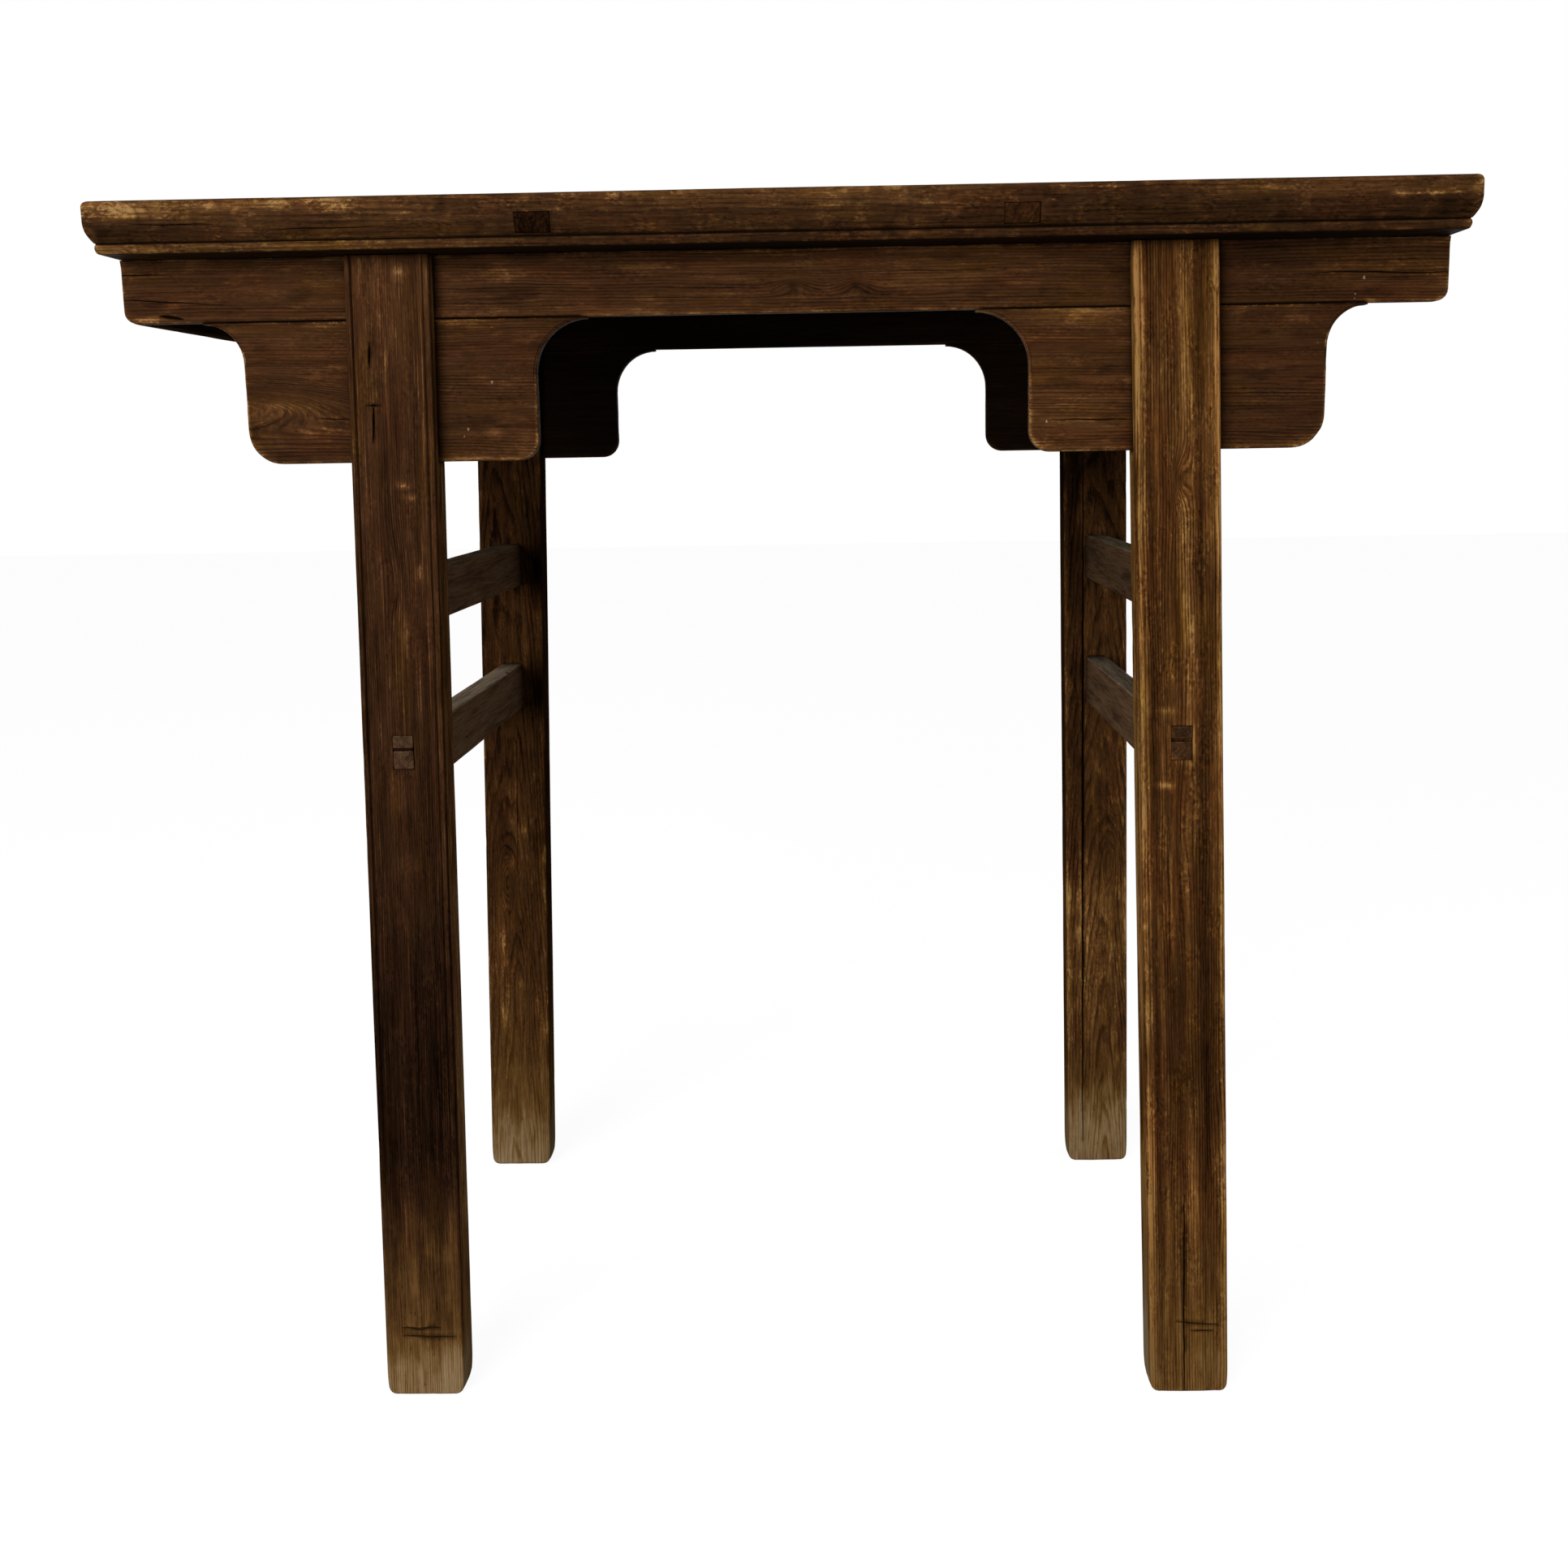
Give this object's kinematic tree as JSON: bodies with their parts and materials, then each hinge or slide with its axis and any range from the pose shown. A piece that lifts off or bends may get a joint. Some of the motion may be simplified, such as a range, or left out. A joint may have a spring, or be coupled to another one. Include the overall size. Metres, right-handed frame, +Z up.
{
  "type": "altar table",
  "caption": "Small recessed-leg wooden altar table: moulded framed top, aprons with rounded spandrels, splayed slotted legs and side stretchers.",
  "frame": {"origin": "on the floor under the middle of the top", "axes": "+X along the length to the right, the front faces -Y, +Z up"},
  "size_m": [0.904, 0.52, 0.85],
  "materials": {
    "moulded_frame": "worn brown stain, golden on the edges",
    "panel": "worn brown stain, scuffed",
    "apron": "brown stain, golden where rubbed",
    "leg": "brown stain, bleached at the feet",
    "stretcher": "dusty grey brown",
    "hidden_bar": "unfinished, dark with age",
    "wedge": "end grain, dark"
  },
  "bodies": {
    "root": {"top_rail_front": "moulded_frame", "top_rail_back": "moulded_frame", "top_rail_left": "moulded_frame", "top_rail_right": "moulded_frame", "panel_board_1": "panel", "panel_board_2": "panel", "panel_board_3": "panel", "apron_front": "apron", "apron_back": "apron", "end_board_left": "apron", "spandrel_front_left": "apron", "spandrel_front_right": "apron", "spandrel_back_left": "apron", "spandrel_back_right": "apron", "leg_front_left": "leg", "leg_front_right": "leg", "leg_back_left": "leg", "leg_back_right": "leg", "stretcher_upper_left": "stretcher", "stretcher_upper_right": "stretcher", "stretcher_lower_left": "stretcher", "stretcher_lower_right": "stretcher", "brace_left": "hidden_bar", "brace_right": "hidden_bar", "tenon_wedges": "wedge"}
  },
  "joints": []
}
